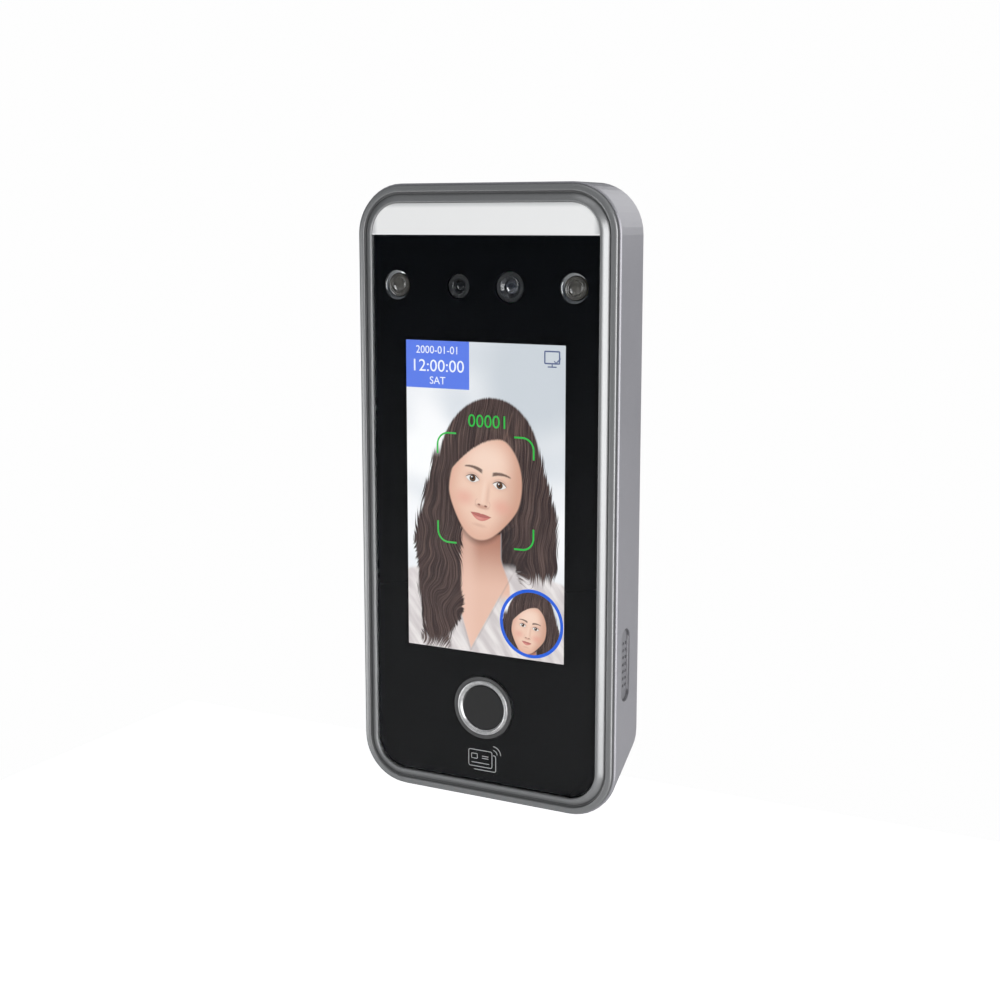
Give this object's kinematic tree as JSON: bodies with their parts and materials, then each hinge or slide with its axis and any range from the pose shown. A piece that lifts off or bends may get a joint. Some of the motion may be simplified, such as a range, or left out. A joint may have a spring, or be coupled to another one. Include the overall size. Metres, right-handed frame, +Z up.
{
  "type": "fingerprint scanner terminal",
  "caption": "Wall-mounted access terminal with a colour screen, face cameras, a round fingerprint sensor and a card reader in a slim case that hangs on a steel wall plate.",
  "frame": {"origin": "on the wall face, at the centre of the wall plate's four screw holes", "axes": "+X to a visitor's right, +Y into the wall, +Z up; the front looks along -Y"},
  "size_m": [0.101, 0.0227, 0.2188],
  "materials": {
    "plate_steel": "zinc plated",
    "screw_steel": "bright zinc",
    "case_paint": "fine satin silver grey",
    "frame_paint": "satin silver",
    "rubber_black": "matte",
    "cover_glass": "polished",
    "ink_black": "printed ink",
    "tape": "foam tape",
    "opal_white": "opal",
    "board_green": "solder mask",
    "led_body": "moulded",
    "lcd_glass": "emissive picture",
    "tin_plate": "bright tin",
    "ribbon": "polyimide",
    "chassis_plastic": "moulded",
    "camera_black": "fine matte",
    "lens_glass": "coated",
    "reflector": "vacuum metallised",
    "ring_metal": "turned and anodised",
    "ferrite": "sheet",
    "chip_black": "moulded",
    "heat_pad": "soft pad",
    "nylon_white": "moulded",
    "speaker_cone": "film",
    "plunger_black": "moulded",
    "button_red": "moulded",
    "switch_metal": "stamped",
    "brass": "knurled"
  },
  "bodies": {
    "bracket": {"wall_plate": "plate_steel", "lock_screw": "screw_steel"},
    "tamper": {"tamper_plunger": "plunger_black"},
    "reset": {"reset_button": "button_red"},
    "terminal": {"rear_case": "case_paint", "front_frame": "frame_paint", "perimeter_seal": "rubber_black", "cover_glass": "cover_glass", "ink_mask": "ink_black", "glass_tape": "tape", "light_panel": "opal_white", "light_board": "board_green", "light_leds": "led_body", "screen_gasket": "rubber_black", "lcd_panel": "lcd_glass", "lcd_backlight": "tin_plate", "lcd_ribbon": "ribbon", "chassis": "chassis_plastic", "camera_board": "board_green", "camera_shroud": "rubber_black", "ir_camera_body": "camera_black", "ir_camera_lens": "lens_glass", "colour_camera_body": "camera_black", "colour_camera_lens": "lens_glass", "lamp_reflector_left": "reflector", "lamp_reflector_right": "reflector", "lamp_led_left": "led_body", "lamp_led_right": "led_body", "finger_ring": "ring_metal", "sensor_gasket": "rubber_black", "sensor_disc": "ink_black", "sensor_housing": "chassis_plastic", "sensor_board": "board_green", "antenna_board": "board_green", "antenna_ferrite": "ferrite", "mainboard": "board_green", "board_chips": "chip_black", "processor_shield": "tin_plate", "heat_pad": "heat_pad", "coin_cell": "tin_plate", "cell_holder": "chassis_plastic", "relay": "nylon_white", "network_socket": "tin_plate", "power_header": "nylon_white", "signal_header": "nylon_white", "speaker_frame": "chassis_plastic", "speaker_cone": "speaker_cone", "speaker_gasket": "rubber_black", "tamper_switch": "switch_metal", "reset_switch": "switch_metal", "case_screws": "screw_steel", "case_inserts": "brass", "chassis_screws": "screw_steel", "board_screws": "screw_steel", "lock_insert": "brass"}
  },
  "joints": [
    {"name": "terminal_lift", "type": "slide", "parent": "bracket", "child": "terminal", "axis": [0, 0, 1], "range_m": [0, 0.008]},
    {"name": "tamper_press", "type": "slide", "parent": "terminal", "child": "tamper", "axis": [0, -1, 0], "range_m": [0, 0.0015], "stiffness_N_per_m": 300, "springref_m": -0.001},
    {"name": "reset_press", "type": "slide", "parent": "terminal", "child": "reset", "axis": [0, -1, 0], "range_m": [0, 0.0008], "stiffness_N_per_m": 400, "springref_m": -0.001}
  ]
}
